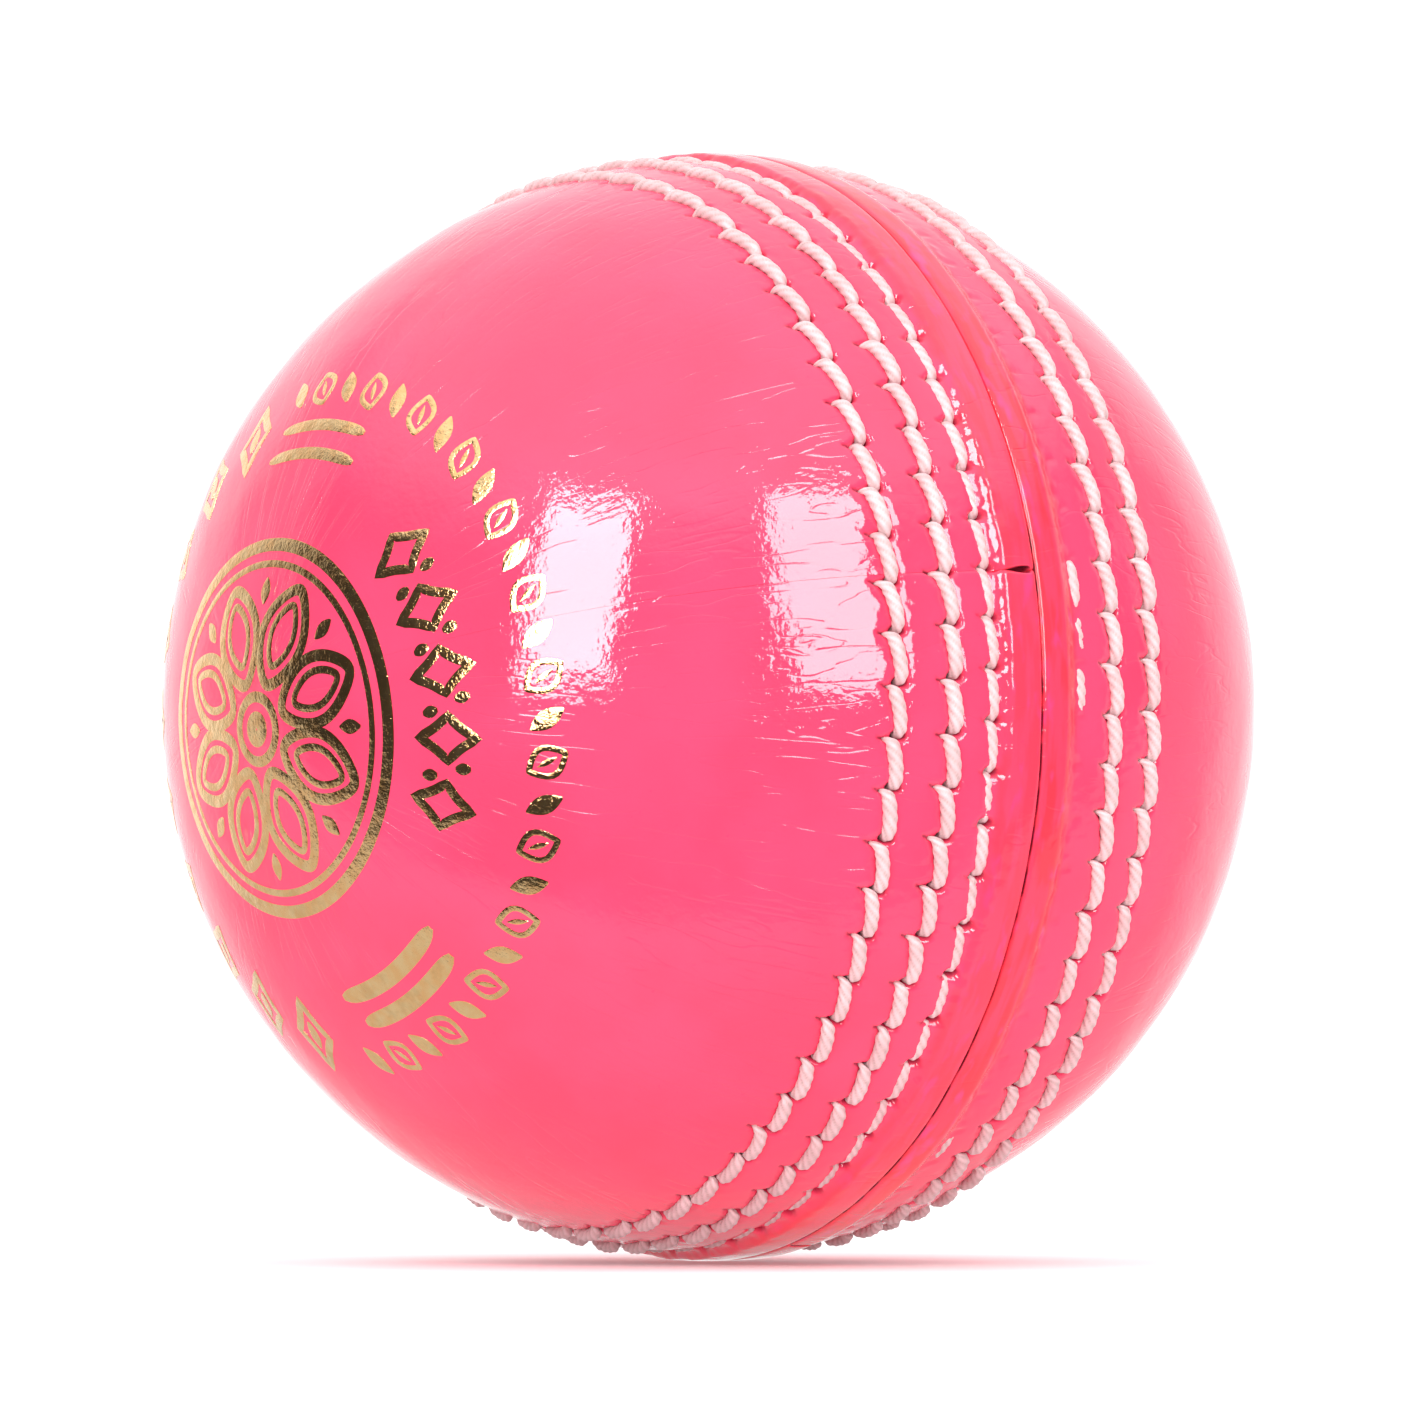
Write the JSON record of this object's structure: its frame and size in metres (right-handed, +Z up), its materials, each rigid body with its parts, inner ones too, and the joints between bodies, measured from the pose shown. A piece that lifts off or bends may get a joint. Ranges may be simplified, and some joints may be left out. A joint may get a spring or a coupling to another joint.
{
  "type": "cricket ball",
  "caption": "Hard leather ball with a raised stitched seam round its middle, lacquered pink, with a gold foil ornament on one side and a wound cork and yarn centre.",
  "frame": {"origin": "centre of the ball", "axes": "+X through the pole of the plain cup, -X through the pole of the stamped cup, so the join and its rows of stitches lie round the YZ plane; +Z up as the ball is shown"},
  "size_m": [0.072, 0.073, 0.073],
  "materials": {
    "leather": "dyed hot pink and finished with a thick glossy lacquer",
    "thread": "waxed plied linen thread, natural cream",
    "gold_foil": "thin gold foil stamped into the leather, rubbed and speckled",
    "lining": "raw split leather",
    "yarn": "tightly wound undyed worsted yarn",
    "cork": "pressed granulated cork",
    "core": "moulded cork and rubber"
  },
  "bodies": {
    "root": {"core": "core", "cork_layer_1_half_a": "cork", "cork_layer_1_half_b": "cork", "yarn_winding_1": "yarn", "cork_layer_2_half_a": "cork", "cork_layer_2_half_b": "cork", "yarn_winding_2": "yarn", "cork_layer_3_half_a": "cork", "cork_layer_3_half_b": "cork", "yarn_winding_3": "yarn", "cork_layer_4_half_a": "cork", "cork_layer_4_half_b": "cork", "yarn_winding_4": "yarn", "cork_layer_5_half_a": "cork", "cork_layer_5_half_b": "cork", "yarn_winding_5": "yarn", "cup_lining_stamped": "lining", "quarter_seam_thread_stamped": "thread", "leather_quarter_stamped_a": "leather", "leather_quarter_stamped_b": "leather", "stitch_row_stamped_inner": "thread", "stitch_row_stamped_middle": "thread", "stitch_row_stamped_outer": "thread", "cup_lining_plain": "lining", "quarter_seam_thread_plain": "thread", "leather_quarter_plain_a": "leather", "leather_quarter_plain_b": "leather", "stitch_row_plain_inner": "thread", "stitch_row_plain_middle": "thread", "stitch_row_plain_outer": "thread"}
  },
  "joints": []
}
